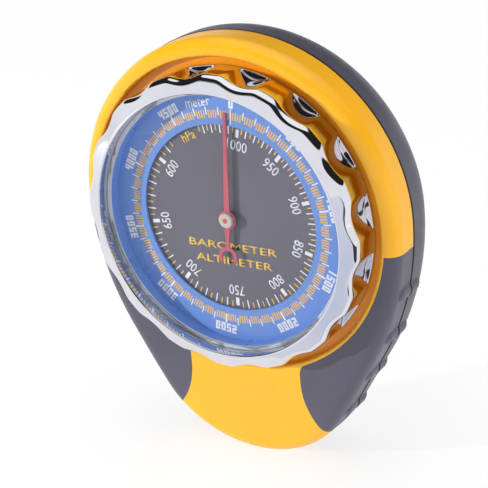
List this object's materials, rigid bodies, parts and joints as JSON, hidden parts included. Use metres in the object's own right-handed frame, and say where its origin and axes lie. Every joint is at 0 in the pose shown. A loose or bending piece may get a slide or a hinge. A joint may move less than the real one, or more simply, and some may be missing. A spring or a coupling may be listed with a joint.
{
  "type": "pocket barometer altimeter",
  "caption": "Handheld aneroid barometer and altimeter: round dial under a turning chrome scalloped bezel, in a tapering two-part case with soft side grips.",
  "frame": {"origin": "on the dial's axis, in the plane where the front and rear halves of the housing meet", "axes": "+X to the right of the dial, +Y from the dial to the back, +Z towards the top of the dial, away from the tail"},
  "size_m": [0.072, 0.0257, 0.0896],
  "materials": {
    "yellow_shell": "smooth satin moulded",
    "grip": "soft-touch matt",
    "grey_shell": "matt moulded",
    "seal": "matt",
    "lens_seal": "clear silicone, satin",
    "bezel_chrome": "bright plated",
    "altitude_blue": "printed",
    "lens": "clear polished",
    "spring_steel": "bright",
    "dial_grey": "matt printed",
    "hand_red": "satin",
    "hub_cream": "satin",
    "brass": "turned",
    "capsule_metal": "pressed",
    "steel": "turned",
    "screw_steel": "plated",
    "vent": "sintered"
  },
  "bodies": {
    "housing": {"front_body": "yellow_shell", "right_grip": "grip", "left_grip": "grip", "rear_housing": "grey_shell", "seam_gasket": "seal", "bezel_snap_ring": "spring_steel", "bezel_o_ring": "seal", "dial_plate": "dial_grey", "hairspring": "brass", "hairspring_stud": "brass", "base_plate": "brass", "top_plate": "brass", "rocker_bracket_upper": "brass", "rocker_bracket_lower": "brass", "capsule_foot": "brass", "capsule_spacer": "brass", "capsule_tube": "brass", "diaphragm_1": "capsule_metal", "diaphragm_2": "capsule_metal", "diaphragm_3": "capsule_metal", "diaphragm_4": "capsule_metal", "vent_disc": "vent", "pillar_1": "brass", "pillar_2": "brass", "pillar_3": "brass", "pillar_screw_1": "screw_steel", "pillar_screw_2": "screw_steel", "pillar_screw_3": "screw_steel", "movement_screw_1": "screw_steel", "movement_screw_2": "screw_steel", "movement_screw_3": "screw_steel", "housing_screw_1": "screw_steel", "housing_screw_2": "screw_steel", "housing_screw_3": "screw_steel", "housing_screw_4": "screw_steel"},
    "bezel": {"bezel": "bezel_chrome", "altitude_ring": "altitude_blue", "lens": "lens", "lens_gasket": "lens_seal"},
    "hand": {"pointer": "hand_red", "pointer_hub": "hub_cream", "pointer_arbor": "steel", "pinion": "brass", "hairspring_collet": "brass"},
    "sector": {"sector_gear": "brass", "sector_arbor": "steel"},
    "rocker": {"rocker_shaft": "steel", "lift_arm": "steel", "drive_arm": "steel"},
    "stud": {"capsule_stud": "steel"},
    "adjuster": {"reference_screw": "screw_steel"}
  },
  "joints": [
    {"name": "bezel_turn", "type": "hinge", "parent": "housing", "child": "bezel", "pos_m": [0, -0.0095, 0], "axis": [0, 1, 0], "continuous": true},
    {"name": "hand_turn", "type": "hinge", "parent": "housing", "child": "hand", "pos_m": [0, -0.005, 0], "axis": [0, 1, 0], "range_deg": [-20.4, 319.8], "stiffness_Nm_per_rad": 0.0001},
    {"name": "sector_turn", "type": "hinge", "parent": "housing", "child": "sector", "pos_m": [0.005, -0.0028, 0.00745], "axis": [0, 1, 0], "range_deg": [-33, 3]},
    {"name": "rocker_turn", "type": "hinge", "parent": "housing", "child": "rocker", "pos_m": [0.005, 0.0088, 0], "axis": [0, 0, 1], "range_deg": [-17.5, 2]},
    {"name": "stud_rise", "type": "slide", "parent": "housing", "child": "stud", "axis": [0, 1, 0], "range_m": [-0.00015, 0.0016]},
    {"name": "adjuster_turn", "type": "hinge", "parent": "housing", "child": "adjuster", "pos_m": [-0.01, 0.006, -0.0185], "axis": [0, 1, 0], "range_deg": [-180, 180]}
  ],
  "couplings": [
    {"joint": "sector_turn", "follows": "hand_turn", "ratio": -0.1},
    {"joint": "rocker_turn", "follows": "hand_turn", "ratio": -0.052155},
    {"joint": "stud_rise", "follows": "hand_turn", "m_per_rad": 0.00026078}
  ]
}
